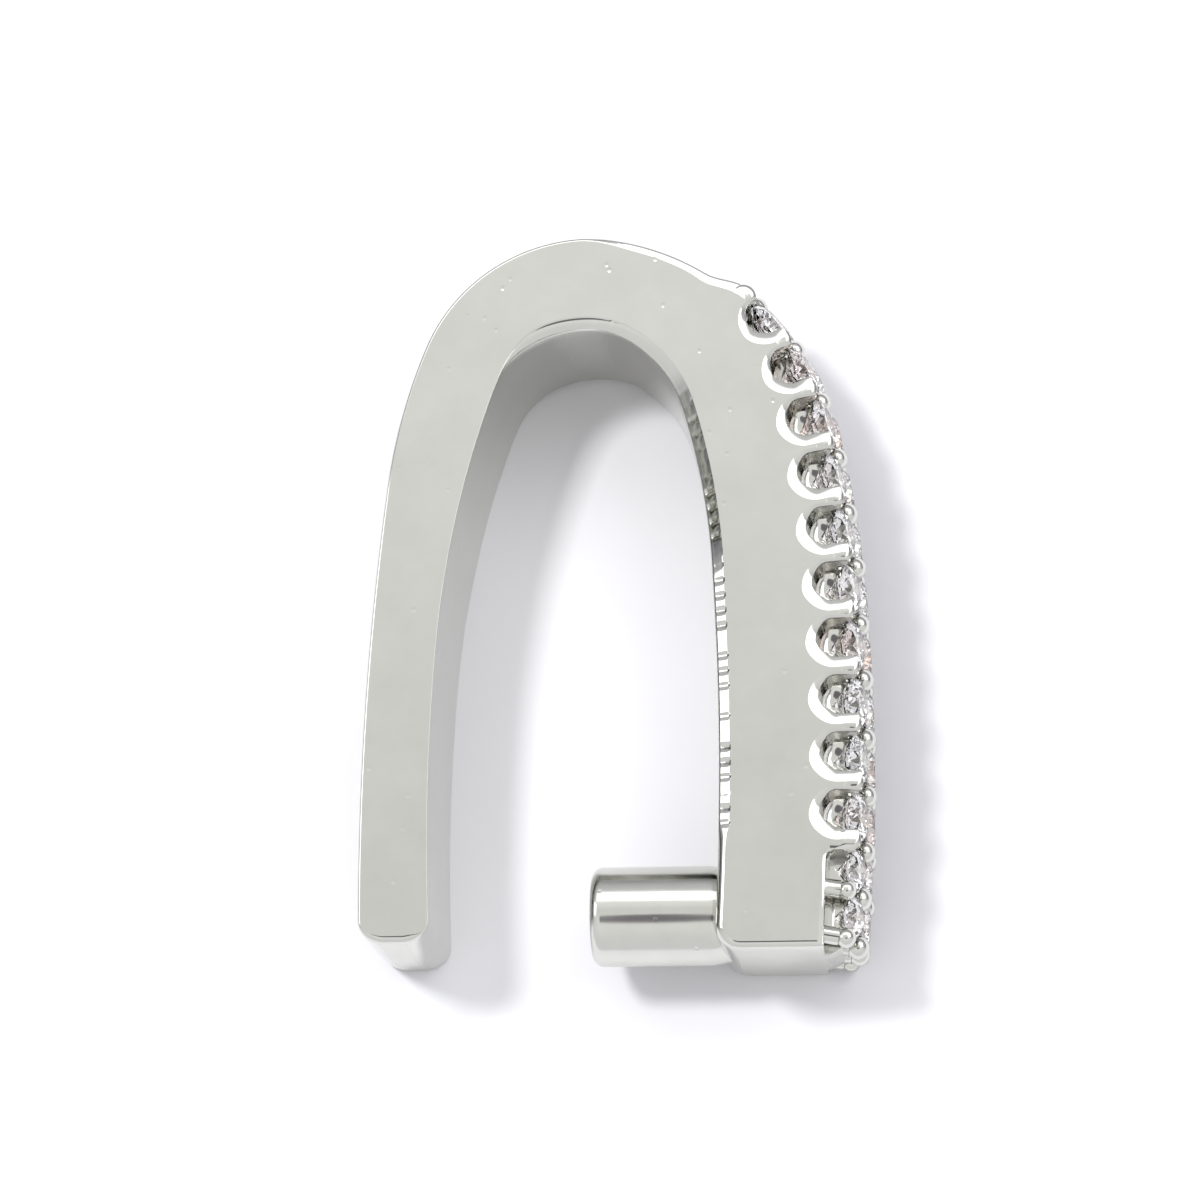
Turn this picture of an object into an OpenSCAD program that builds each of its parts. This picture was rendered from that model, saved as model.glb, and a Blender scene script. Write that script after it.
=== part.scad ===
// Pinch bail with a set front, lying on its side.
// +Y runs up through the arch, +X to the set front arm, +Z up from the side it lies on.
// The origin is under the middle of the bail, on the surface it lies on.

/* [Band] */
// Width of the band from side to side, which is its height as it lies
band_w = 3.0; // [2.6:0.1:3.4]
// Outer top of the arch above the arch's centre
arch_top = 2.95; // [2.9:0.01:3.0]
// Inner top of the arch above the arch's centre
arch_inner_top = 1.585; // [1.5:0.005:1.65]
// How far the inside of the arch sits toward the back arm
arch_inner_shift = 0.055; // [0:0.005:0.1]
// Foot of the front arm below the arch's centre
front_foot = 8.57; // [8.5:0.01:8.8]
// Foot of the back arm below the arch's centre
back_foot = 8.42; // [8.4:0.01:8.8]
// Rounding at the corners of both feet
foot_r = 0.3; // [0.1:0.05:0.4]

/* [Peg] */
// Diameter of the peg that goes into the drilled pendant
peg_d = 1.56; // [1.2:0.02:1.6]
// How far the peg stands out of the front arm
peg_len = 2.04; // [1.5:0.02:2.3]
// Rounding round the free end of the peg
peg_end_r = 0.18; // [0.05:0.01:0.3]
// How much the peg's radius shrinks over its tapered root in the front arm
peg_taper = 0.09; // [0.06:0.01:0.12]
// Height of the peg's axis over the foot of the front arm
peg_rise = 0.795; // [0.79:0.005:1.0]

/* [Stones] */
// Diameter of a stone over its girdle
stone_d = 0.84; // [0.76:0.01:0.84]
// Diameter of the smaller stones at the foot
end_stone_d = 0.68; // [0.6:0.01:0.68]
// Stones in each row that have a scallop beside them
scalloped_stones = 10; // [6:1:10]
// Stones in each row that stand free at the foot
end_stones = 2; // [1:1:2]
// Distance along the front from one prong line to the next
pitch = 0.907; // [0.9:0.001:0.91]
// The same distance at the smaller stones
end_pitch = 0.73; // [0.725:0.005:0.74]
// Distance across the front from one row of stones to the next
row_gap = 0.867; // [0.86:0.001:0.88]
// Tilt of the two outer rows toward their sides
row_tilt = 16.8; // [14:0.2:18]
// Height of the middle row's bed over the scalloped edge
bed_rise = 0.142; // [0.12:0.002:0.16]

/* [Setting] */
// Diameter of a prong's round head
head_d = 0.38; // [0.32:0.01:0.38]
// Diameter of a prong below its head
prong_d = 0.28; // [0.2:0.01:0.3]
// Depth of a scallop below the scalloped edge
scallop_depth = 0.43; // [0.38:0.01:0.48]
// Width of a scallop behind its bevel
scallop_w = 0.5; // [0.46:0.01:0.52]
// Width of the bevel round each scallop on the side of the band
scallop_bevel = 0.18; // [0.1:0.01:0.18]
// How far that bevel goes in from the side of the band
bevel_depth = 0.13; // [0.08:0.01:0.15]
// How far a scallop reaches in from the side of the band
scallop_reach = 0.72; // [0.5:0.01:0.8]

/* [Hidden] */
$fn = 48;
arc_step = 2.5;
metal = [0.80, 0.80, 0.78];
crystal = [0.90, 0.93, 0.96];

// Each outline starts at the top of the arch and goes down one side.
// Columns: length of the stretch, degrees that it turns
outer_front_rows = [[0.40, 10.0], [4.64, 67.7], [2.76, 8.6], [5.40, 7.9]];
outer_back_rows = [[3.33, 68.0], [2.37, 15.0], [6.90, 7.7]];
inner_front_rows = [[0.86, 41.6], [1.43, 32.0], [2.53, 12.8], [5.80, 7.0]];
inner_back_rows = [[1.80, 69.7], [4.39, 15.7], [4.40, 7.1]];

// Where the first prong line is on the front, and how high the prongs stand over the edge
first_prong = 2.77;
edge_tip = 0.23;
middle_tip = 0.49;
// Beside the end stones both sides of the front are cut back
free_cut = 0.31;
stones_per_row = scalloped_stones + end_stones;

// Shares of a stone's diameter
crown_share = 0.15;
pavilion_share = 0.42;
girdle_share = 0.025;
table_share = 0.57;
girdle_lift = 0.13;
seat_gap = 0.035;
row_names = ["lower", "middle", "upper"];

STONES = [for (row = [0:2]) for (n = [1:stones_per_row])
    [str(row_names[row], "_row_stone_", n < 10 ? "0" : "", n), row - 1, n]];

// A point part of the way along a stretch that starts at p with heading h
function along(p, h, length, turn, part) =
    let (r = length / (turn * PI / 180), a = h + turn * part)
    p + r * [sin(a) - sin(h), cos(h) - cos(a)];

// Points of an outline; hand is 1 where it turns left and -1 where it turns right
function trace(p, h, rows, hand, i = 0) =
    i == len(rows) ? [p] :
    let (turn = hand * rows[i][1], steps = ceil(rows[i][1] / arc_step))
    concat([for (k = [0:steps - 1]) along(p, h, rows[i][0], turn, k / steps)],
        trace(along(p, h, rows[i][0], turn, 1), h + turn, rows, hand, i + 1));

// Place and heading on the front's outer outline, s millimetres from its top
function front_at(s, p = [0, arch_top], h = 0, i = 0) =
    let (rows = outer_front_rows, length = rows[i][0], turn = -rows[i][1])
    s <= length || i == len(rows) - 1
        ? [along(p, h, length, turn, s / length), h + turn * s / length]
        : front_at(s - length, along(p, h, length, turn, 1), h + turn, i + 1);

// The two round corners of a foot that reaches down to y, from x at one side to x at the other
function foot(x_from, x_to, y) =
    let (side = sign(x_to - x_from))
    concat([for (a = [0:15:90]) [x_from + side * foot_r * (1 - cos(a)), y + foot_r * (1 - sin(a))]],
        [for (a = [90:-15:0]) [x_to - side * foot_r * (1 - cos(a)), y + foot_r * (1 - sin(a))]]);

function reversed(list) = [for (i = [len(list) - 1:-1:0]) list[i]];
function last(list) = list[len(list) - 1];

outer_front = trace([0, arch_top], 0, outer_front_rows, -1);
outer_back = trace([0, arch_top], 180, outer_back_rows, 1);
inner_front = trace([-arch_inner_shift, arch_inner_top], 0, inner_front_rows, -1);
inner_back = trace([-arch_inner_shift, arch_inner_top], 180, inner_back_rows, 1);

// The bail's box about the arch's centre, which puts the origin under its middle
left_end = min([for (p = outer_back) p.x]);
right_end = max([for (p = outer_front) p.x]) + middle_tip;
centre_x = (left_end + right_end) / 2;
centre_y = (arch_top - front_foot) / 2;

// Distance down the front of a prong line, counted from 0, and of stone n, counted from 1
function line_at(i) =
    first_prong + min(i, scalloped_stones) * pitch + max(i - scalloped_stones, 0) * end_pitch;
function stone_at(n) = (line_at(n - 1) + line_at(n)) / 2;
function size_of(n) = n > scalloped_stones ? end_stone_d : stone_d;

// Children stand on the front, s millimetres down it, with X along it, Y out of it and Z across
module on_front(s) {
    place = front_at(s);
    translate([place[0].x, place[0].y, band_w / 2]) rotate([0, 0, place[1]]) children();
}

// Children stand on the seat of stone n of a row, with Z out of the stone's table
module on_seat(row, n) {
    bed = row == 0 ? bed_rise : bed_rise - row_gap / 2 * tan(row_tilt);
    on_front(stone_at(n))
        translate([0, bed, row * row_gap]) rotate([row * row_tilt, 0, 0]) rotate([-90, 0, 0]) children();
}

// The side view of the whole band
module band_outline() {
    polygon(concat(outer_front,
        foot(last(outer_front).x, last(inner_front).x, -front_foot),
        reversed(inner_front),
        inner_back,
        foot(last(inner_back).x, last(outer_back).x, -back_foot),
        reversed(outer_back)));
}

// The raised strip that the middle row stands on, one block for each stone
module bed_block(n) {
    top_w = row_gap / 2;
    low_w = top_w + bed_rise / tan(row_tilt);
    spare = 0.05;
    length = line_at(n) - line_at(n - 1) + 2 * spare;
    on_front(stone_at(n))
        rotate([0, 90, 0]) translate([0, 0, -length / 2]) linear_extrude(length)
            polygon([[-low_w - 0.3, -0.1], [-low_w, 0], [-top_w, bed_rise],
                [top_w, bed_rise], [low_w, 0], [low_w + 0.3, -0.1]]);
}

// The hollow that a stone drops into, open outward
module seat(n) {
    wide = size_of(n) / 2 + seat_gap;
    mouth = size_of(n) / 2 - 0.12;
    rotate_extrude() polygon([[0, -0.42], [mouth, -0.42], [mouth, 0], [wide, girdle_lift - 0.01],
        [wide, 0.6], [0, 0.6]]);
}

// One scallop in a side of the band: a round-bottomed cut with a bevel at the side
module scallop() {
    r = scallop_w / 2;
    past = 0.05;
    inner = band_w / 2 - scallop_reach;
    edge = band_w / 2 - bevel_depth;
    outside = band_w / 2 + past;
    flare = r + scallop_bevel * (1 + past / bevel_depth);
    translate([0, r - scallop_depth, 0]) {
        rotate_extrude() polygon([[0, inner], [r, inner], [r, edge], [flare, outside], [0, outside]]);
        rotate([-90, 0, 0]) linear_extrude(1)
            polygon([[-r, -inner], [-r, -edge], [-flare, -outside], [flare, -outside],
                [r, -edge], [r, -inner]]);
    }
}

// A prong with a round head, from its root up to tip above the scalloped edge
module prong(tip) {
    root = -0.45;
    r = prong_d / 2;
    head = head_d / 2;
    neck = tip - head - sqrt(head * head - r * r);
    rotate([-90, 0, 0]) rotate_extrude() intersection() {
        union() {
            translate([0, root]) square([r, neck - root + 0.05]);
            translate([0, tip - head]) circle(head);
        }
        translate([0, root]) square([head + 1, tip - root + 1]);
    }
}

// The peg, from its tapered root inside the front arm to its rounded free end
module peg() {
    r = peg_d / 2;
    face = last(inner_front).x;
    sunk = 0.4;
    root_w = 0.08;
    total = peg_len + sunk;
    shoulder = total - peg_end_r;
    translate([face + sunk, peg_rise - front_foot, band_w / 2]) rotate([0, -90, 0]) rotate_extrude() {
        polygon([[0, 0], [r - peg_taper, 0], [r, sunk + root_w], [r, shoulder],
            [r - peg_end_r, shoulder], [r - peg_end_r, total], [0, total]]);
        intersection() {
            translate([r - peg_end_r, shoulder]) circle(peg_end_r);
            translate([0, shoulder]) square([r, peg_end_r]);
        }
    }
}

module bail_band() color(metal) translate([-centre_x, -centre_y, 0]) {
    difference() {
        union() {
            linear_extrude(band_w) band_outline();
            for (n = [1:stones_per_row]) bed_block(n);
        }
        for (row = [-1:1]) for (n = [1:stones_per_row]) on_seat(row, n) seat(n);
        for (n = [1:scalloped_stones]) for (side = [0, 1])
            on_front(stone_at(n)) mirror([0, 0, side]) scallop();
        for (side = [0, 1]) on_front(line_at(scalloped_stones) + 0.14) mirror([0, 0, side])
            translate([0, -free_cut, band_w / 2 - scallop_reach]) cube([3, 1, 1]);
    }
    for (line = [0:stones_per_row]) for (across = [-1.5:1.5])
        on_front(line_at(line)) translate([0, 0, across * row_gap])
            prong(abs(across) > 1 ? edge_tip : middle_tip);
    peg();
}

// A round cut stone: table, crown facets, girdle and pavilion
module stone(row, n) color(crystal) translate([-centre_x, -centre_y, 0]) on_seat(row, n) {
    d = size_of(n);
    flat = 0.01;
    translate([0, 0, girdle_lift]) hull() {
        translate([0, 0, crown_share * d - flat]) cylinder(h = flat, d = table_share * d, $fn = 8);
        translate([0, 0, -girdle_share * d / 2]) cylinder(h = girdle_share * d, d = d, $fn = 16);
        translate([0, 0, -pavilion_share * d]) cylinder(h = flat, d = 2 * flat, $fn = 8);
    }
}

bail_band();
for (s = STONES) stone(s[1], s[2]);
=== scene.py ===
import math
import random
import bmesh
import bpy
from mathutils import Matrix, Vector


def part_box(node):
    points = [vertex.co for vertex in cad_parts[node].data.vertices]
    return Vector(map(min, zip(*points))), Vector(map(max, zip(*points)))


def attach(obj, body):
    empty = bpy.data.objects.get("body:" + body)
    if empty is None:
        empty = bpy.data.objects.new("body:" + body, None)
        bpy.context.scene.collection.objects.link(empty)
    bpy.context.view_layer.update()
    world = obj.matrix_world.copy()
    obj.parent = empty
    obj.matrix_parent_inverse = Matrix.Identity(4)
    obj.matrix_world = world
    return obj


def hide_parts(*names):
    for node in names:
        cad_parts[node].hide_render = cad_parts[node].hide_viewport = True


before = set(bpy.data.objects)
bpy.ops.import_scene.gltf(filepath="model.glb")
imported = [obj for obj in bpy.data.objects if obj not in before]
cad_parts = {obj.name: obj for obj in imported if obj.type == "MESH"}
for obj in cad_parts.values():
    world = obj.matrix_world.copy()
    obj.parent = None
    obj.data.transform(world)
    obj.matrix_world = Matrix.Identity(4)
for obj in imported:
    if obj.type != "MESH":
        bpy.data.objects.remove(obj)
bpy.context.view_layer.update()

mm = 0.001  # shapes are worked out in millimetres and brought to metres when a piece is made


def linear(hexColour):
    parts = [int(hexColour[i:i + 2], 16) / 255 for i in (1, 3, 5)]
    return [c / 12.92 if c <= 0.04045 else ((c + 0.055) / 1.055) ** 2.4 for c in parts] + [1.0]


def smooth(low, high, value):
    t = min(max((value - low) / (high - low), 0), 1)
    return t * t * (3 - 2 * t)


def mix(a, b, t):
    return a + (b - a) * t


def addNode(tree, kind, settings=None, links=None):
    node = tree.nodes.new(kind)
    for name, value in (settings or {}).items():
        if isinstance(name, int) or name in node.inputs.keys():
            node.inputs[name].default_value = value
        else:
            setattr(node, name, value)
    for name, source in (links or {}).items():
        tree.links.new(source, node.inputs[name])
    return node


def newMaterial(name):
    material = bpy.data.materials.new(name)
    material.use_nodes = True
    material.node_tree.nodes.clear()
    return material, material.node_tree


band = {
    "width": 3.0,
    "archTop": 2.95,         # heights are from the level of the arch's centre
    "innerTop": 1.585,
    "innerShift": 0.055,     # how far the top of the opening lies toward the back arm
    "frontFoot": 8.57,       # how far the feet are below that level
    "backFoot": 8.42,
    "footRound": 0.42,
    "footTurn": 9,           # degrees from one point to the next round a foot
    "footBarrel": 0.05,      # the end walls of the feet bulge a little
    # stretches of each outline from the top of the arch down: length, degrees that it turns
    "outerFront": [(0.40, 10.0), (4.64, 67.7), (2.76, 8.6), (5.40, 7.9)],
    "outerBack": [(3.33, 68.0), (2.37, 15.0), (6.90, 7.7)],
    "innerFront": [(0.86, 41.6), (1.43, 32.0), (2.53, 12.8), (5.80, 7.0)],
    "innerBack": [(1.80, 69.7), (4.39, 15.7), (4.40, 7.1)],
    "station": 0.09,         # from one cross section to the next
    "fineStation": 0.03,     # and where the tool marks are
    "edgeSteps": 10,
    "wallSteps": 12,
    # widths of the edges and bevels
    "edge": 0.06,            # what the polishing wheel rounds off
    "frontBevel": 0.15,      # flat bevel along the top of the front
    "shoulderEdge": 0.21,    # and where it widens before the first prong
    "innerEdge": 0.008,
    "archBevel": 0.20,       # round the inside of the arch
    "armBevel": 0.20,        # down the inside of the front arm
    "footEdge": 0.12,
    "footBlends": (0.1, 0.9),   # how far round the corner that takes over, as a share
    "innerFootEdge": 0.19,   # soft where the arm's bevel runs out at the peg
    # bevels: drop as a share of the width, and how much the slope bends on its way in
    "frontSlope": (0.16, 1.1),
    "archSlope": (0.45, 2.0),
    "armSlope": (0.8, 1.05),
    "lowerArmDrop": 0.38,
    # the small corner between the wall and a bevel: share of the profile, then its own measures
    "cornerShare": 0.375,
    "cornerRound": 0.05,
    "cornerTurn": 75,
    "cornerInset": 0.037,
    "cornerDrop": 0.08,
    "cornerPower": 1.5,
    "shoulderSwell": 0.21,   # how far the shoulder swells out toward the first prong
    "archSwell": 0.15,       # how far the wall inside the arch stands in
    "archSwellReach": 2.1,
    "markPitch": 0.24,       # little tool marks along the inner edge of the front arm
    "markDepth": 0.024,
    "markPower": 3,                # how narrow they are for their pitch
    "markStrength": (-0.1, 1.5),   # uneven, and none where it is below 0
    "markBegins": (0.0, 0.4),      # up the profile of the edge, as a share
    "markCloses": (0.93, 1.0),
    # where a form starts and where it is complete, down its outline from the top of the arch
    "frontBevelCut": (-0.2, 0.6),
    "frontBevelWidens": (-0.2, 0.9),
    "frontBevelStops": 3.0,
    "shoulderWidens": (1.6, 2.6),
    "shoulderSwells": (2.0, 2.7),
    "shoulderSinks": (2.85, 3.05),
    "bedRises": (2.32, 2.72),
    "archBevelNarrows": (0.6, 1.9),
    "backBevelFades": (0.7, 2.0),
    "armBevelSteepens": (0.0, 1.8),
    "armBevelStraightens": (0.3, 1.9),
    "armBevelFlattens": (4.2, 5.4),
    "armBevelFades": (8.9, 9.4),
    "innerFootSoftens": (8.8, 9.4),
    "marksStart": (1.8, 3.0),
    "marksEnd": (8.9, 9.3),
    "sharpFrom": 34,         # degrees between faces where the polished edges stay crisp
    "flatterFaces": 80,      # how much the large faces decide the shading of their edges
}


def along(change, s):  # 0 before the stretch where a form changes and 1 after it
    return smooth(*band[change], s)


def walk(place, heading, length, turn, part):  # where a part of an arc ends
    radius, angle = length / math.radians(turn), heading + turn * part
    a, h = math.radians(angle), math.radians(heading)
    return place + radius * Vector((math.sin(a) - math.sin(h), math.cos(h) - math.cos(a)))


def trace(start, heading, rows, hand, step):  # place, heading and distance gone, down an outline
    points, place, gone = [], Vector(start), 0
    for length, turn in rows:
        count = math.ceil(length / step)
        for k in range(count):
            part = k / count
            points.append((walk(place, heading, length, hand * turn, part),
                           heading + hand * turn * part, gone + length * part))
        place = walk(place, heading, length, hand * turn, 1)
        heading += hand * turn
        gone += length
    return points + [(place, heading, gone)]


def frontAt(s):  # place and heading on the front, s down it from the top of the arch
    place, heading = Vector((0, band["archTop"])), 0
    rows = band["outerFront"]
    for i, (length, turn) in enumerate(rows):
        if s <= length or i == len(rows) - 1:
            return walk(place, heading, length, -turn, s / length), heading - turn * s / length
        place = walk(place, heading, length, -turn, 1)
        heading -= turn
        s -= length


outerBack = trace((0, band["archTop"]), 180, band["outerBack"], 1, band["station"])
boxLow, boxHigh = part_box("bail_band")
toFrame = Matrix.Translation((boxLow[0] / mm - min(place.x for place, heading, gone in outerBack),
                              boxHigh[1] / mm - band["archTop"], 0))

setting = {
    "firstProng": 2.77,      # down the front from the top of the arch
    "pitch": 0.907,
    "scalloped": 10,         # stones with a scallop beside them
    "endStones": 2,          # and smaller ones below, between free prongs
    "endPitch": 0.73,
    "rowGap": 0.867,
    "rowTilt": 16.8,
    "bedRise": 0.142,        # the middle row's bed over the scalloped edge
    "stone": 0.84,
    "endStone": 0.68,
    "girdleLift": 0.13,
    "seatGap": 0.035,
    "seatDeeper": 0.045,     # how far the drill goes past the tip of the stone
    "seatPoint": 0.03,
    "seatLip": 0.025,
    "seatTop": 0.6,
    "seatSides": 32,
    "scallopDepth": 0.42,
    "scallopWidth": 0.50,
    "scallopLead": 0.10,     # each cut reaches a little further toward the arch
    "scallopReach": 0.72,    # how far it goes in from the side of the band
    "scallopEnd": [(0.0, -0.12), (0.05, -0.03), (0.12, 0)],   # its blind end: depth, widening
    "scallopTop": 1.0,
    "scallopSteps": 28,
    "firstScallops": [0.19, 0.06],   # the first ones sit higher, on the swollen shoulder
    "scallopBevel": 0.18,
    "bevelDepth": 0.046,
    # the bevel with its soft corners: depth and width as shares of the two lines above
    "bevelRows": [(2.2, 0), (1.15, 0.05), (0.9, 0.16), (0.1, 0.9), (0.02, 1.0)],
    "bevelPast": [(0.001, 0), (0.05, 0.12)],
    "bevelOver": 1.05,
    "bevelStart": 0.3,       # share of its width on the side toward the arch
    "bevelFull": 1.62,       # half turns round the cut where it is at its full width
    "slant": (1.4, 1.9),     # the lower inner corner is slanted, most at the wall: power of its curve
    "freeFrom": 0.14,        # the land of the free prongs starts this far past the last scallop
    "freeCut": 0.31,
    "freeCorner": (0.12, 0.035),
    "freeTop": 0.8,
    "freePast": 0.3,
    "landBevel": [(-0.06, 0), (-0.034, 0.012), (0.001, 0.1), (0.3, 0.16)],   # past the side, widening
    "prong": 0.28,
    "prongRoot": -0.5,
    "head": 0.38,
    "edgeHead": 0.86,        # the free edge prongs have smaller heads
    "headUneven": (0.93, 1.04),
    "headFlat": 0.9,         # height over its middle as a share of its radius
    "headUnder": -48,        # degrees, where its underside meets the post
    "headSteps": 8,
    "neck": 1.75,            # how many radii below its top the post ends
    "prongSides": 20,
    "edgeTip": 0.23,
    "middleTip": 0.45,
    "pushedDown": 0.05,      # some beads sit up to this much lower
    "lean": 6,               # degrees, either way
    # an edge prong's rows: depth from the side of the band, how far inside its outline
    "tongue": [(0.001, 0.07), (0.015, 0.03), (0.05, 0), (0.26, 0), (0.33, 0.03), (0.37, 0.09)],
    "tongueRoot": -0.35,
    "tongueGrows": 0.02,
    "tongueUneven": (-0.03, 0.02),
    "tongueLean": 4,
    "tongueSteps": 16,
}


def lineAt(i):
    s = setting
    past = max(i - s["scalloped"], 0)
    return s["firstProng"] + min(i, s["scalloped"]) * s["pitch"] + past * s["endPitch"]


def stoneAt(n):
    return (lineAt(n - 1) + lineAt(n)) / 2


def sizeOf(n):
    return setting["endStone"] if n > setting["scalloped"] else setting["stone"]


stonesPerRow = setting["scalloped"] + setting["endStones"]


def onFront(s):  # X down the front, Y out of it, Z across the band
    place, heading = frontAt(s)
    middle = Matrix.Translation((place.x, place.y, band["width"] / 2))
    return middle @ Matrix.Rotation(math.radians(heading), 4, "Z")


def onSeat(row, n):  # Z out of the table of a stone
    bed = setting["bedRise"]
    if row:
        bed -= setting["rowGap"] / 2 * math.tan(math.radians(setting["rowTilt"]))
    tilt = Matrix.Rotation(math.radians(row * setting["rowTilt"]), 4, "X")
    return (onFront(stoneAt(n)) @ Matrix.Translation((0, bed, row * setting["rowGap"])) @ tilt
            @ Matrix.Rotation(math.radians(-90), 4, "X"))


def closedMesh(rings):
    count = len(rings[0])
    verts = [v for ring in rings for v in ring]
    faces = []
    for k in range(len(rings) - 1):
        for i in range(count):
            j = (i + 1) % count
            faces.append((k * count + i, k * count + j, (k + 1) * count + j, (k + 1) * count + i))
    faces.append(tuple(reversed(range(count))))
    faces.append(tuple((len(rings) - 1) * count + i for i in range(count)))
    return verts, faces


def makeObject(name, shapes):
    verts, faces = [], []
    for shapeVerts, shapeFaces in shapes:
        start = len(verts)
        verts += shapeVerts
        faces += [tuple(start + i for i in face) for face in shapeFaces]
    mesh = bpy.data.meshes.new(name)
    mesh.from_pydata([tuple(v) for v in verts], [], faces)
    mesh.validate()
    bm = bmesh.new()
    bm.from_mesh(mesh)
    bmesh.ops.recalc_face_normals(bm, faces=bm.faces)
    bm.to_mesh(mesh)
    bm.free()
    piece = bpy.data.objects.new(name, mesh)
    bpy.context.scene.collection.objects.link(piece)
    return piece


def combine(piece, operation, others):
    for other in others:
        modifier = piece.modifiers.new("combine", "BOOLEAN")
        modifier.operation = operation
        modifier.solver = "MANIFOLD"
        modifier.object = other
    evaluated = piece.evaluated_get(bpy.context.evaluated_depsgraph_get())
    result = bpy.data.meshes.new_from_object(evaluated)
    piece.modifiers.clear()
    old, piece.data = piece.data, result
    bpy.data.meshes.remove(old)
    for other in others:
        bpy.data.meshes.remove(other.data)


endPoint = 0.004  # radius of the tiny flat where a turned shape ends in a point


def lathe(profile, matrix, count):  # profile of (radius, height) pairs from the bottom up
    rings = []
    for radius, height in profile:
        ring = []
        for i in range(count):
            a = 2 * math.pi * i / count
            ring.append(matrix @ Vector((radius * math.cos(a), radius * math.sin(a), height)))
        rings.append(ring)
    return closedMesh(rings)


# what a point of the outline carries where its stretch says nothing else
plainForm = {"bevel": 0, "slope": (0, 1), "crown": 0, "swell": 0, "barrel": 0, "marks": 0, "s": 0}


def archSwellAt(s):
    return band["archSwell"] * (0.5 + 0.5 * math.cos(math.pi * min(s / band["archSwellReach"], 1)))


def outerFrontForm(s):
    b = band
    form = {"edge": b["edge"], "crown": along("bedRises", s),
            "swell": b["shoulderSwell"] * along("shoulderSwells", s) * (1 - along("shoulderSinks", s))}
    if s < b["frontBevelStops"]:
        width = mix(b["edge"], b["frontBevel"], along("frontBevelWidens", s))
        form["edge"] = mix(width, b["shoulderEdge"], along("shoulderWidens", s))
        form["bevel"] = along("frontBevelCut", s)
        form["slope"] = b["frontSlope"]
    return form


def innerFrontForm(s):
    b = band
    width = mix(b["archBevel"], b["armBevel"], along("archBevelNarrows", s))
    drop = mix(b["archSlope"][0], b["armSlope"][0], along("armBevelSteepens", s))
    return {"edge": mix(width, b["innerFootEdge"], along("innerFootSoftens", s)),
            "bevel": 1 - along("armBevelFades", s),
            "slope": (mix(drop, b["lowerArmDrop"], along("armBevelFlattens", s)),
                      mix(b["archSlope"][1], b["armSlope"][1], along("armBevelStraightens", s))),
            "swell": archSwellAt(s),
            "marks": along("marksStart", s) * (1 - along("marksEnd", s)),
            "s": s}


def innerBackForm(s):
    return {"edge": mix(band["archBevel"], band["innerEdge"], along("archBevelNarrows", s)),
            "bevel": 1 - along("backBevelFades", s), "slope": band["archSlope"],
            "swell": archSwellAt(s)}


def outerBackForm(s):
    return {"edge": band["edge"]}


def wallPoints(trail, outward, formAt):
    return [{**plainForm, "place": place, "direction": heading + outward, **formAt(s)}
            for place, heading, s in trail]


def footPoints(trailFrom, trailTo, depth, edgeFrom, edgeTo, crown):
    r, turn = band["footRound"], band["footTurn"]
    corners = ((trailFrom[-1][0].x - r, range(-turn, -91, -turn), edgeFrom),
               (trailTo[-1][0].x + r, range(-90, -180, -turn), edgeTo))
    points = []
    for x, angles, edge in corners:
        for angle in angles:
            a = math.radians(angle)
            down = math.sin(a) ** 2
            points.append({**plainForm, "direction": angle,
                           "place": Vector((x + r * math.cos(a), r - depth + r * math.sin(a))),
                           "edge": mix(edge, band["footEdge"], along("footBlends", down)),
                           "crown": crown * max(0, math.cos(a)) ** 2,
                           "barrel": band["footBarrel"] * down})
    return points


def aboveFoot(trail, depth):
    return [point for point in trail if point[0].y > band["footRound"] - depth]


def bodyLoop():  # down the front, round its foot, up and down the opening, and up the back
    b = band
    innerStart = (-b["innerShift"], b["innerTop"])
    frontOuter = trace((0, b["archTop"]), 0, b["outerFront"], -1, b["station"])
    frontInner = trace(innerStart, 0, b["innerFront"], -1, b["fineStation"])
    backInner = trace(innerStart, 180, b["innerBack"], 1, b["station"])
    frontOuter, frontInner = aboveFoot(frontOuter, b["frontFoot"]), aboveFoot(frontInner, b["frontFoot"])
    backInner, backOuter = aboveFoot(backInner, b["backFoot"]), aboveFoot(outerBack, b["backFoot"])
    return (wallPoints(frontOuter, 90, outerFrontForm)
            + footPoints(frontOuter, frontInner, b["frontFoot"], b["edge"], b["innerFootEdge"], 1)
            + wallPoints(frontInner[:0:-1], -90, innerFrontForm)
            + wallPoints(backInner, 90, innerBackForm)
            + footPoints(backInner, backOuter, b["backFoot"], b["innerEdge"], b["edge"], 0)
            + wallPoints(backOuter[:0:-1], -90, outerBackForm))


def crownAt(z):  # the stone bed: flat under the middle row and sloping under the outer ones
    flat = setting["rowGap"] / 2
    slope = math.tan(math.radians(setting["rowTilt"]))
    rise = setting["bedRise"] - (abs(z - band["width"] / 2) - flat) * slope
    return min(setting["bedRise"], max(0, rise))


def edgeProfile(t, form):
    # how far in and how far down an edge is, from the wall at 0 to the flat side at 1: a round one,
    # or a flat bevel with a small round corner at the wall, or between the two
    width, (steep, bend), corner = form["edge"], form["slope"], band["cornerShare"]
    a = math.radians(90 * t)
    inset, drop = width * (1 - math.cos(a)), width * (1 - math.sin(a))
    if t < corner:
        u = t / corner
        flatInset = band["cornerRound"] * (1 - math.cos(math.radians(band["cornerTurn"] * u)))
        flatDrop = steep * width + band["cornerDrop"] * (1 - u) ** band["cornerPower"]
    else:
        u = (t - corner) / (1 - corner)
        flatInset = mix(band["cornerInset"], width, u)
        flatDrop = steep * width * (1 - u) ** bend
    return mix(inset, flatInset, form["bevel"]), mix(drop, flatDrop, form["bevel"])


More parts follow.
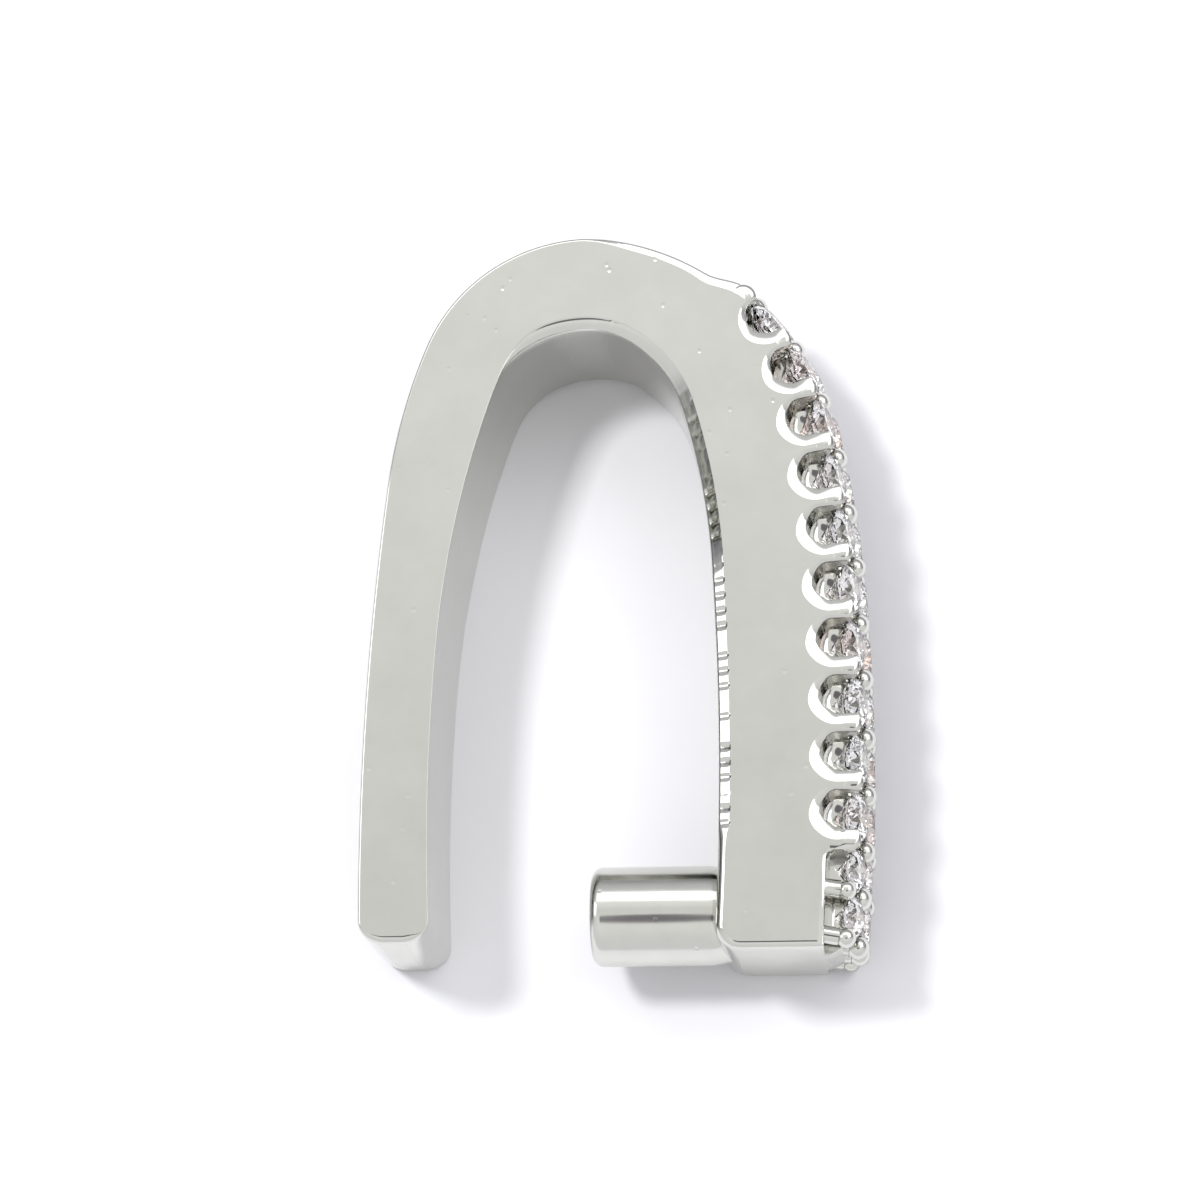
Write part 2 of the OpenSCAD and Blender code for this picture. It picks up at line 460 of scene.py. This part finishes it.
def markDepthAt(s, t, strengths):  # a narrow groove that fades at the wall and at the flat side
    phase = s / band["markPitch"]
    groove = (0.5 - 0.5 * math.cos(2 * math.pi * phase)) ** band["markPower"]
    groove *= along("markBegins", t) * (1 - along("markCloses", t))
    return band["markDepth"] * strengths[int(phase)] * groove


def makeBody():
    points = bodyLoop()
    dice = random.Random(4)
    innerLength = sum(length for length, turn in band["innerFront"])
    markCount = math.ceil(innerLength / band["markPitch"])
    strengths = [max(0, dice.uniform(*band["markStrength"])) for _ in range(markCount)]
    steps, between = band["edgeSteps"], band["wallSteps"]
    # where each ring is in the profile of the edges, and how far up between the two flat sides
    levels = [(t / steps, 0) for t in range(steps, -1, -1)]
    levels += [(0, k / between) for k in range(1, between)]
    levels += [(t / steps, 1) for t in range(steps + 1)]
    rings = []
    for t, up in levels:
        a = math.radians(90 * t)
        ring = []
        for p in points:
            inset, drop = edgeProfile(t, p)
            if p["marks"]:
                dip = p["marks"] * markDepthAt(p["s"], t, strengths)
                inset += dip * math.cos(a)
                drop += dip * math.sin(a)
            z = mix(drop, band["width"] - drop, up)
            hollow = p["barrel"] * (2 * z / band["width"] - 1) ** 2
            out = crownAt(z) * p["crown"] + p["swell"] - inset - hollow
            d = math.radians(p["direction"])
            ring.append(Vector((p["place"].x + out * math.cos(d), p["place"].y + out * math.sin(d), z)))
        rings.append(ring)
    return makeObject("castBody", [closedMesh(rings)])


def scallopCutter(n, side):
    # a round-bottomed cut with a bevel at the side of the band; the bevel narrows toward the arch,
    # and the lower inner corner is slanted as the burr left it
    s, steps = setting, setting["scallopSteps"]
    r, half = s["scallopWidth"] / 2, band["width"] / 2
    bevel, over = s["scallopBevel"], s["scallopBevel"] * s["bevelOver"]
    lift = s["firstScallops"][n - 1] if n <= len(s["firstScallops"]) else 0
    middle = r - s["scallopDepth"] + lift
    rows = [(half - s["scallopReach"] + up, wider) for up, wider in s["scallopEnd"]]
    rows += [(half - s["bevelDepth"] * down, bevel * share) for down, share in s["bevelRows"]]
    rows += [(half + past, over + wider) for past, wider in s["bevelPast"]]
    matrix = onFront(stoneAt(n)) @ Matrix.Diagonal((1, 1, side, 1))
    rings = []
    for z, wider in rows:
        ring = []
        for k in range(steps + 1):
            a = math.pi * (1 + k / steps)
            grown = smooth(math.pi, math.pi * s["bevelFull"], a)
            rho = r + wider * (mix(s["bevelStart"], 1, grown) if wider > 0 else 1)
            if a > 1.5 * math.pi:
                power = mix(*s["slant"], min(max(wider / bevel, 0), 1))
                rho /= (abs(math.cos(a)) ** power + abs(math.sin(a)) ** power) ** (1 / power)
            lead = s["scallopLead"] * min(0, math.cos(a))
            ring.append(Vector((lead + rho * math.cos(a), middle + rho * math.sin(a), z)))
        walls = Vector((ring[0].x, s["scallopTop"], z)), Vector((ring[-1].x, s["scallopTop"], z))
        rings.append([matrix @ v for v in (walls[0], *ring, walls[1])])
    return closedMesh(rings)


def seatCutter(row, n):  # a drilled cone that follows the stone
    s = setting
    wide = sizeOf(n) / 2 + s["seatGap"]
    tip = s["girdleLift"] - brilliant["pavilion"] * sizeOf(n) - s["seatDeeper"]
    profile = [(s["seatPoint"], tip), (wide, s["girdleLift"] - s["seatLip"]), (wide, s["seatTop"])]
    return lathe(profile, onSeat(row, n), s["seatSides"])


def endCutter(side):  # leaves the land of the free prongs, with a small bevel at the side
    s, half = setting, band["width"] / 2
    start = lineAt(s["scalloped"]) + s["freeFrom"]
    matrix = onFront(start) @ Matrix.Diagonal((1, 1, side, 1))
    top, bottom, (corner, soft) = s["freeTop"], -s["freeCut"], s["freeCorner"]
    foot = frontAt(start)[0].y + band["frontFoot"] + s["freePast"]
    outline = [(0, top), (0, bottom + corner), (soft, bottom + soft), (corner, bottom),
               (foot, bottom), (foot, top)]
    rings = []
    for past, wider in [(-s["scallopReach"], 0)] + s["landBevel"]:
        ring = [(x - (wider if x == 0 else 0), y - (wider if y < 0 else 0)) for x, y in outline]
        rings.append([matrix @ Vector((x, y, half + past)) for x, y in ring])
    return closedMesh(rings)


def prongShape(line, across, dice):  # a post with a bead pushed down over the stones
    s, onEdge, steps = setting, abs(across) > 1, setting["headSteps"]
    tip, stem = s["edgeTip"] if onEdge else s["middleTip"], s["prong"] / 2
    head = s["head"] / 2 * dice.uniform(*s["headUneven"]) * (s["edgeHead"] if onEdge else 1)
    tip += dice.uniform(-s["pushedDown"], 0.0)
    profile = [(stem, s["prongRoot"]), (stem, tip - s["neck"] * head)]
    for k in range(steps + 1):
        a = math.radians(mix(s["headUnder"], 90, k / steps))
        flatter = s["headFlat"] if a > 0 else 1
        profile.append((max(endPoint, head * math.cos(a)), tip - head + head * math.sin(a) * flatter))
    lean = Matrix.Rotation(math.radians(dice.uniform(-s["lean"], s["lean"])), 4, "X")
    lean = lean @ Matrix.Rotation(math.radians(dice.uniform(-s["lean"], s["lean"])), 4, "Y")
    matrix = (onFront(lineAt(line)) @ Matrix.Translation((0, 0, across * s["rowGap"]))
              @ Matrix.Rotation(math.radians(-90), 4, "X") @ lean)
    return lathe(profile, matrix, s["prongSides"])


def tongueShape(line, side, dice):
    # an edge prong: the web between two scallops runs out over the edge with a blunt round end
    s, steps = setting, setting["tongueSteps"]
    half = s["head"] / 2 + s["tongueGrows"]
    tip = s["edgeTip"] + dice.uniform(*s["tongueUneven"])
    lean = Matrix.Rotation(math.radians(dice.uniform(-s["tongueLean"], s["tongueLean"])), 4, "Z")
    matrix = (onFront(lineAt(line) - s["scallopLead"] / 2) @ Matrix.Diagonal((1, 1, side, 1))
              @ Matrix.Translation((0, 0, band["width"] / 2)) @ lean)
    rings = []
    for down, inside in s["tongue"]:
        r = half - inside
        ring = [Vector((r, s["tongueRoot"], -down))]
        for k in range(steps + 1):
            a = math.pi * k / steps
            ring.append(Vector((r * math.cos(a), tip - half + r * math.sin(a), -down)))
        ring.append(Vector((-r, s["tongueRoot"], -down)))
        rings.append([matrix @ v for v in ring])
    return closedMesh(rings)


peg = {
    "diameter": 1.56,
    "length": 1.99,
    "sunk": 0.4,         # inside the arm
    "endRound": 0.18,
    "endFlat": 0.3,
    "rise": 0.795,       # its middle over the foot
    "taper": 0.09,       # how much thinner it is at its hidden root
    "rootWidth": 0.08,   # how far out of the arm it is still thinner
    "skin": 0.01,
    "sides": 72,
    "endSteps": 8,
    "surround": (-0.5, 1.9),   # where its faces are, from the arch's centre toward the front
}


def pegShape():
    r, end, steps = peg["diameter"] / 2, peg["endRound"], peg["endSteps"]
    inner = trace((-band["innerShift"], band["innerTop"]), 0, band["innerFront"], -1, band["station"])
    total = peg["sunk"] + peg["length"]
    profile = [(r - peg["taper"], 0), (r, peg["sunk"] + peg["rootWidth"])]
    for k in range(steps + 1):
        a = math.radians(90 * k / steps)
        profile.append((r - end * (1 - math.cos(a)), total - end * (1 - math.sin(a))))
    profile += [(peg["endFlat"], total), (endPoint, total)]
    root = Vector((inner[-1][0].x + peg["sunk"], peg["rise"] - band["frontFoot"], band["width"] / 2))
    matrix = Matrix.Translation(root) @ Matrix.Rotation(math.radians(-90), 4, "Y")
    return lathe(profile, matrix, peg["sides"])


def onPeg(place):
    x, y, z = toFrame.inverted() @ place
    away = math.hypot(y + band["frontFoot"] - peg["rise"], z - band["width"] / 2)
    low, high = peg["surround"]
    return low < x < high and away < peg["diameter"] / 2 + peg["skin"]


def makeBand():
    body = makeBody()
    scalloped = setting["scalloped"]
    dice = random.Random(11)
    seats, scallops = [], []
    for start in (1, 2):  # neighbours overlap, so every other one is cut at a time
        for rows in ((-1, 1), (0,)):
            shapes = [seatCutter(row, n) for row in rows for n in range(start, stonesPerRow + 1, 2)]
            seats.append(makeObject("seats", shapes))
        shapes = [scallopCutter(n, side) for n in range(start, scalloped + 1, 2) for side in (1, -1)]
        scallops.append(makeObject("scallops", shapes))
    combine(body, "DIFFERENCE", seats)
    tongues = [tongueShape(line, side, dice) for line in range(scalloped + 1) for side in (-1, 1)]
    combine(body, "UNION", [makeObject("tongues", tongues)])
    combine(body, "DIFFERENCE", scallops + [makeObject("ends", [endCutter(1), endCutter(-1)])])
    lines, freeLines = range(stonesPerRow + 1), range(scalloped + 1, stonesPerRow + 1)
    prongs = [prongShape(line, across, dice) for line in lines for across in (-0.5, 0.5)]
    prongs += [prongShape(line, across, dice) for line in freeLines for across in (-1.5, 1.5)]
    combine(body, "UNION", [makeObject("prongs", prongs), makeObject("peg", [pegShape()])])
    body.data.transform(Matrix.Scale(mm, 4) @ toFrame)
    body.data.shade_smooth()
    body.data.set_sharp_from_angle(angle=math.radians(band["sharpFrom"]))
    body.name = body.data.name = "plated_bail_band"
    weighted = body.modifiers.new("weighted", "WEIGHTED_NORMAL")
    weighted.keep_sharp = True
    weighted.weight = band["flatterFaces"]
    return body


# shares of the stone's diameter, and for the table and the lower halves of its radius
brilliant = {"table": 0.57, "crown": 0.15, "girdle": 0.025, "pavilion": 0.42, "lowerHalves": 0.77}
cutGap = 0.004  # how much smaller the cut stone is than its solid


def around(radius, height, count, turn=0.0):
    angles = [2 * math.pi * i / count + turn for i in range(count)]
    return [Vector((radius * math.cos(a), radius * math.sin(a), height)) for a in angles]


def stoneShape(diameter):  # a round brilliant: table, stars, kites, halves above and below, mains
    b, r = brilliant, diameter / 2
    table, crown = b["table"] * r, b["crown"] * diameter
    girdle, pavilion = b["girdle"] * diameter / 2, b["pavilion"] * diameter
    slope = (crown - girdle) / (r - table)
    eighth = math.pi / 8
    star = mix(table * math.cos(eighth), r, 0.5)
    starHeight = crown - (star * math.cos(eighth) - table) * slope
    lower = r * (1 - b["lowerHalves"])
    lowerHeight = -pavilion + lower * math.cos(eighth) * (pavilion - girdle) / r
    verts = around(table, crown, 8) + around(star, starHeight, 8, eighth)
    verts += around(r, girdle, 16) + around(r, -girdle, 16)
    verts += around(lower, lowerHeight, 8, eighth) + [Vector((0, 0, -pavilion))]
    tops, stars, over, under, halves, culet = 0, 8, 16, 32, 48, 56  # where each ring of points starts
    faces = [tuple(range(8))]
    for i in range(8):
        after, before = (i + 1) % 8, (i - 1) % 8
        this, between, following = 2 * i, 2 * i + 1, (2 * i + 2) % 16
        faces += [(tops + i, stars + i, tops + after), (tops + i, stars + before, over + this, stars + i)]
        faces += [(stars + i, over + this, over + between), (stars + i, over + between, over + following)]
        faces += [(over + this, under + this, under + between, over + between),
                  (over + between, under + between, under + following, over + following)]
        faces += [(halves + i, under + between, under + this)]
        faces += [(halves + i, under + following, under + between)]
        faces += [(culet, halves + i, under + this, halves + before)]
    return verts, faces


def makeStones(material):
    dice = random.Random(3)
    for row, name in ((-1, "lower"), (0, "middle"), (1, "upper")):
        for n in range(1, stonesPerRow + 1):
            node = "%s_row_stone_%02d" % (name, n)
            verts, faces = stoneShape(sizeOf(n) - cutGap)
            turn = Matrix.Rotation(dice.uniform(0, 2 * math.pi), 4, "Z")
            matrix = (Matrix.Scale(mm, 4) @ toFrame @ onSeat(row, n)
                      @ Matrix.Translation((0, 0, setting["girdleLift"])) @ turn)
            piece = makeObject("cut_" + node, [([matrix @ v for v in verts], faces)])
            piece.data.materials.append(material)
            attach(piece, "root")
            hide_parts(node)


rhodiumPlate = {
    "colour": "#d9d9d3",
    "clouded": "#cacac4",
    "polished": 0.10,     # roughness where the wheel reached
    "satin": 0.09,        # roughness of the two flat sides
    "flat": (0.985, 0.9995),   # how square to the side a face is there
    "cloud": 0.9,         # mm, clouding left by the last polish
    "poreSpacing": 0.44,  # mm, casting pores under the plating
    "pore": 0.045,        # mm across
    "poreDepth": 0.01,    # mm
    "peel": 0.35,         # mm, soft waves of the casting skin
    "peelDepth": 0.004,   # mm
    "ends": 0.2,          # how much rougher the sheared ends of the arms are
    "endFacing": (-0.93, -0.99),
}

# the peg, where the wheel doesn't reach: duller, with finer clouding
tumbledPlate = {**rhodiumPlate, "polished": 0.17, "cloud": 0.5}


def rhodiumPlatedCastBrass(name, s):
    # cast brass, tumbled, polished and rhodium plated: a bright, faintly warm grey mirror with light
    # clouding and pores that show as tiny specks, and duller where the arms were sheared
    material, tree = newMaterial(name)
    coordinates = addNode(tree, "ShaderNodeTexCoord")
    place = {"Vector": coordinates.outputs["Object"]}
    facing = addNode(tree, "ShaderNodeSeparateXYZ", {}, {"Vector": coordinates.outputs["Normal"]})
    flat = addNode(tree, "ShaderNodeMath", {"operation": "ABSOLUTE"}, {"Value": facing.outputs["Z"]})
    cloud = addNode(tree, "ShaderNodeTexNoise",
                    {"Scale": 1 / (s["cloud"] * mm), "Detail": 4.0, "Roughness": 0.6}, place)
    peel = addNode(tree, "ShaderNodeTexNoise", {"Scale": 1 / (s["peel"] * mm), "Detail": 2.0}, place)
    pores = addNode(tree, "ShaderNodeTexVoronoi", {"Scale": 1 / (s["poreSpacing"] * mm)}, place)
    pit = addNode(tree, "ShaderNodeMapRange",
                  {"From Min": 0.0, "From Max": 1.2 * s["pore"] / s["poreSpacing"],
                   "To Min": 1.0, "To Max": 0.0, "interpolation_type": "SMOOTHSTEP"},
                  {"Value": pores.outputs["Distance"]})
    tone = addNode(tree, "ShaderNodeMix",
                   {"data_type": "RGBA", "A": linear(s["clouded"]), "B": linear(s["colour"])},
                   {"Factor": cloud.outputs["Fac"]})
    satin = addNode(tree, "ShaderNodeMapRange",
                    {"From Min": s["flat"][0], "From Max": s["flat"][1],
                     "To Min": s["polished"], "To Max": s["satin"]}, {"Value": flat.outputs["Value"]})
    end = addNode(tree, "ShaderNodeMapRange",
                  {"From Min": s["endFacing"][0], "From Max": s["endFacing"][1],
                   "To Min": 0.0, "To Max": s["ends"]}, {"Value": facing.outputs["Y"]})
    rough = addNode(tree, "ShaderNodeMath", {"operation": "ADD"},
                    {0: satin.outputs["Result"], 1: end.outputs["Result"]})
    skin = addNode(tree, "ShaderNodeBump", {"Strength": 0.10, "Distance": s["peelDepth"] * mm},
                   {"Height": peel.outputs["Fac"]})
    pitted = addNode(tree, "ShaderNodeBump",
                     {"Strength": 0.4, "Distance": s["poreDepth"] * mm, "invert": True},
                     {"Height": pit.outputs["Result"], "Normal": skin.outputs["Normal"]})
    shader = addNode(tree, "ShaderNodeBsdfPrincipled", {"Metallic": 1.0},
                     {"Base Color": tone.outputs["Result"], "Roughness": rough.outputs["Value"],
                      "Normal": pitted.outputs["Normal"]})
    addNode(tree, "ShaderNodeOutputMaterial", {}, {"Surface": shader.outputs["BSDF"]})
    return material


zirconia = {
    "clear": "#fdfcfc",
    "warm": "#e6cfc6",
    "cast": 1.1,             # mm, how far apart the warmer stones are
    "warmBelow": (0.36, 0.5),
    "ior": 2.16,
}


def cubicZirconia():
    # grown zirconia, machine cut and polished: clear, with hard bright facets and a faint warm cast
    material, tree = newMaterial("cubic zirconia")
    place = addNode(tree, "ShaderNodeTexCoord").outputs["Object"]
    cast = addNode(tree, "ShaderNodeTexNoise", {"Scale": 1 / (zirconia["cast"] * mm), "Detail": 1.0},
                   {"Vector": place})
    low, high = zirconia["warmBelow"]
    warm = addNode(tree, "ShaderNodeMapRange", {"From Min": low, "From Max": high},
                   {"Value": cast.outputs["Fac"]})
    tint = addNode(tree, "ShaderNodeMix",
                   {"data_type": "RGBA", "A": linear(zirconia["warm"]), "B": linear(zirconia["clear"])},
                   {"Factor": warm.outputs["Result"]})
    shader = addNode(tree, "ShaderNodeBsdfPrincipled",
                     {"Roughness": 0.01, "IOR": zirconia["ior"], "Transmission Weight": 1.0},
                     {"Base Color": tint.outputs["Result"]})
    addNode(tree, "ShaderNodeOutputMaterial", {}, {"Surface": shader.outputs["BSDF"]})
    return material


board = {"pale": "#dfdfe2", "shade": "#dcdce0", "fibre": 2.0, "half": 600}  # mm


def paleBoard():
    # pressed paper board with a matt face: even and pale, with a trace of fibre
    material, tree = newMaterial("pale matt board")
    place = addNode(tree, "ShaderNodeTexCoord").outputs["Object"]
    fibre = addNode(tree, "ShaderNodeTexNoise", {"Scale": 1 / (board["fibre"] * mm), "Detail": 3.0},
                    {"Vector": place})
    tone = addNode(tree, "ShaderNodeMix",
                   {"data_type": "RGBA", "A": linear(board["shade"]), "B": linear(board["pale"])},
                   {"Factor": fibre.outputs["Fac"]})
    shader = addNode(tree, "ShaderNodeBsdfPrincipled", {"Roughness": 0.9, "Specular IOR Level": 0.1},
                     {"Base Color": tone.outputs["Result"]})
    addNode(tree, "ShaderNodeOutputMaterial", {}, {"Surface": shader.outputs["BSDF"]})
    return material


def makeFloor():
    half = board["half"] * mm
    corners = [(-half, -half, 0), (half, -half, 0), (half, half, 0), (-half, half, 0)]
    mesh = bpy.data.meshes.new("table top")
    mesh.from_pydata(corners, [], [(0, 1, 2, 3)])
    mesh.materials.append(paleBoard())
    floor = bpy.data.objects.new("table top", mesh)
    bpy.context.scene.collection.objects.link(floor)


shot = {
    "position": (5.519, -18.082, 65.583),  # mm, from the arch's centre
    "target": (0.19, -3.01, 3.0),
    "lens": 124.0,
    "sensor": 36,
    "clip": (1, 10000),                    # mm
}


def makeCamera():
    position, target = toFrame @ Vector(shot["position"]), toFrame @ Vector(shot["target"])
    back = (position - target).normalized()
    right = Vector((0, 1, 0)).cross(back).normalized()
    up = back.cross(right)
    data = bpy.data.cameras.new("bench camera")
    data.lens, data.sensor_width = shot["lens"], shot["sensor"]
    data.clip_start, data.clip_end = shot["clip"][0] * mm, shot["clip"][1] * mm
    camera = bpy.data.objects.new("bench camera", data)
    turn = Matrix((right, up, back)).transposed().to_4x4()
    camera.matrix_world = Matrix.Translation(position * mm) @ turn
    bpy.context.scene.collection.objects.link(camera)
    bpy.context.scene.camera = camera


softBoxes = [
    # name, direction to it, distance, width, height in mm, brightness
    ("key box", (-0.36, 0.185, 0.91), 160, 24, 24, 84.0),
    ("top box", (0.05, 0.61, 0.79), 150, 260, 58, 1.35),
    ("left card", (-0.80, 0.15, 0.58), 150, 60, 60, 2.2),
    ("right box", (0.56, 0.22, 0.80), 150, 90, 80, 2.1),
]


def makeLights():
    for name, direction, distance, width, height, brightness in softBoxes:
        data = bpy.data.lights.new(name, "AREA")
        data.shape, data.size, data.size_y = "RECTANGLE", width * mm, height * mm
        data.energy = brightness * math.pi * width * height * mm * mm
        lamp = bpy.data.objects.new(name, data)
        towards = Vector(direction).normalized()
        lamp.location = towards * distance * mm
        lamp.rotation_euler = towards.to_track_quat("Z", "Y").to_euler()
        lamp.visible_glossy = name != "key box"     # it gives the shadows, the others the reflections
        lamp.visible_diffuse = name != "left card"  # it only shows in the metal
        bpy.context.scene.collection.objects.link(lamp)


room = {
    # tones of the tent from the table up: height as a share, colour
    "back": [(0.0, "#3c3a40"), (0.10, "#8f8f96"), (0.34, "#c6c6ca"), (0.60, "#d4d4d8"),
             (0.80, "#f4f4f6"), (1.0, "#fbfbfb")],
    "front": [(0.0, "#ececee"), (0.5, "#eeeef0"), (0.93, "#fbfbfb")],
    "turn": (-0.35, 0.15),             # where the front gives way to the back
    # brightness from the front to the back of the tent
    "along": [(0.0, 1.04), (0.40, 1.04), (0.52, 0.935), (0.58, 0.945), (0.67, 1.10), (1.0, 1.12)],
    "brightest": 2.0,                  # top of the curve that holds those
    "opening": (-0.03, -0.234, 0.0),   # middle of the opening seen from below
    "openingSize": (0.26, 0.19),
    "openingRim": (1.0, 0.7),
    "dark": "#77727a",
}


def tentWall(tree, height, stops):
    wall = addNode(tree, "ShaderNodeValToRGB", {}, {"Fac": height})
    ramp = wall.color_ramp
    for element, (position, colour) in zip(ramp.elements, (stops[0], stops[-1])):
        element.position, element.color = position, linear(colour)
    for position, colour in stops[1:-1]:
        ramp.elements.new(position).color = linear(colour)
    return wall.outputs["Color"]


def tentBrightness(tree, depth):
    share = addNode(tree, "ShaderNodeMapRange", {"From Min": -1.0, "From Max": 1.0}, {"Value": depth})
    level = addNode(tree, "ShaderNodeFloatCurve", {}, {"Value": share.outputs["Result"]})
    points = level.mapping.curves[0].points
    stops = [(position, brightness / room["brightest"]) for position, brightness in room["along"]]
    points[0].location, points[len(points) - 1].location = stops[0], stops[-1]
    for position, brightness in stops[1:-1]:
        points.new(position, brightness)
    level.mapping.update()
    strength = addNode(tree, "ShaderNodeMath", {"operation": "MULTIPLY", 1: room["brightest"]},
                       {0: level.outputs["Value"]})
    return strength.outputs["Value"]


def makeRoom():
    # a white tent that is dimmer toward its foot and back, with the dark round opening for the lens
    world = bpy.data.worlds.new("studio tent")
    world.use_nodes = True
    tree = world.node_tree
    tree.nodes.clear()
    direction = addNode(tree, "ShaderNodeTexCoord").outputs["Generated"]
    axes = addNode(tree, "ShaderNodeSeparateXYZ", {}, {"Vector": direction})
    back, front = (tentWall(tree, axes.outputs["Z"], room[wall]) for wall in ("back", "front"))
    turn = addNode(tree, "ShaderNodeMapRange",
                   {"From Min": room["turn"][0], "From Max": room["turn"][1],
                    "interpolation_type": "SMOOTHSTEP"}, {"Value": axes.outputs["Y"]})
    tent = addNode(tree, "ShaderNodeMix", {"data_type": "RGBA"},
                   {"Factor": turn.outputs["Result"], "A": front, "B": back})
    wide, long = room["openingSize"]
    offset = addNode(tree, "ShaderNodeVectorMath", {"operation": "SUBTRACT", 1: room["opening"]},
                     {0: direction})
    scaled = addNode(tree, "ShaderNodeVectorMath", {"operation": "MULTIPLY", 1: (1 / wide, 1 / long, 0)},
                     {0: offset.outputs["Vector"]})
    reach = addNode(tree, "ShaderNodeVectorMath", {"operation": "LENGTH"}, {0: scaled.outputs["Vector"]})
    hole = addNode(tree, "ShaderNodeMapRange",
                   {"From Min": room["openingRim"][0], "From Max": room["openingRim"][1],
                    "interpolation_type": "SMOOTHSTEP"}, {"Value": reach.outputs["Value"]})
    seen = addNode(tree, "ShaderNodeMix", {"data_type": "RGBA", "B": linear(room["dark"])},
                   {"Factor": hole.outputs["Result"], "A": tent.outputs["Result"]})
    background = addNode(tree, "ShaderNodeBackground", {},
                         {"Color": seen.outputs["Result"],
                          "Strength": tentBrightness(tree, axes.outputs["Y"])})
    addNode(tree, "ShaderNodeOutputWorld", {}, {"Surface": background.outputs["Background"]})
    bpy.context.scene.world = world


makeCamera()
makeLights()
makeRoom()
makeFloor()
bpy.context.scene.view_settings.view_transform = "Standard"
print("camera, light and floor are in place")

bandPiece = makeBand()
bandPiece.data.materials.clear()
bandPiece.data.materials.append(rhodiumPlatedCastBrass("rhodium plated cast brass", rhodiumPlate))
bandPiece.data.materials.append(rhodiumPlatedCastBrass("tumbled rhodium plated brass", tumbledPlate))
for face in bandPiece.data.polygons:
    face.material_index = 1 if onPeg(face.center / mm) else 0
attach(bandPiece, "root")
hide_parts("bail_band")
print("band:", len(bandPiece.data.polygons), "faces")

makeStones(cubicZirconia())
print("stones are set")
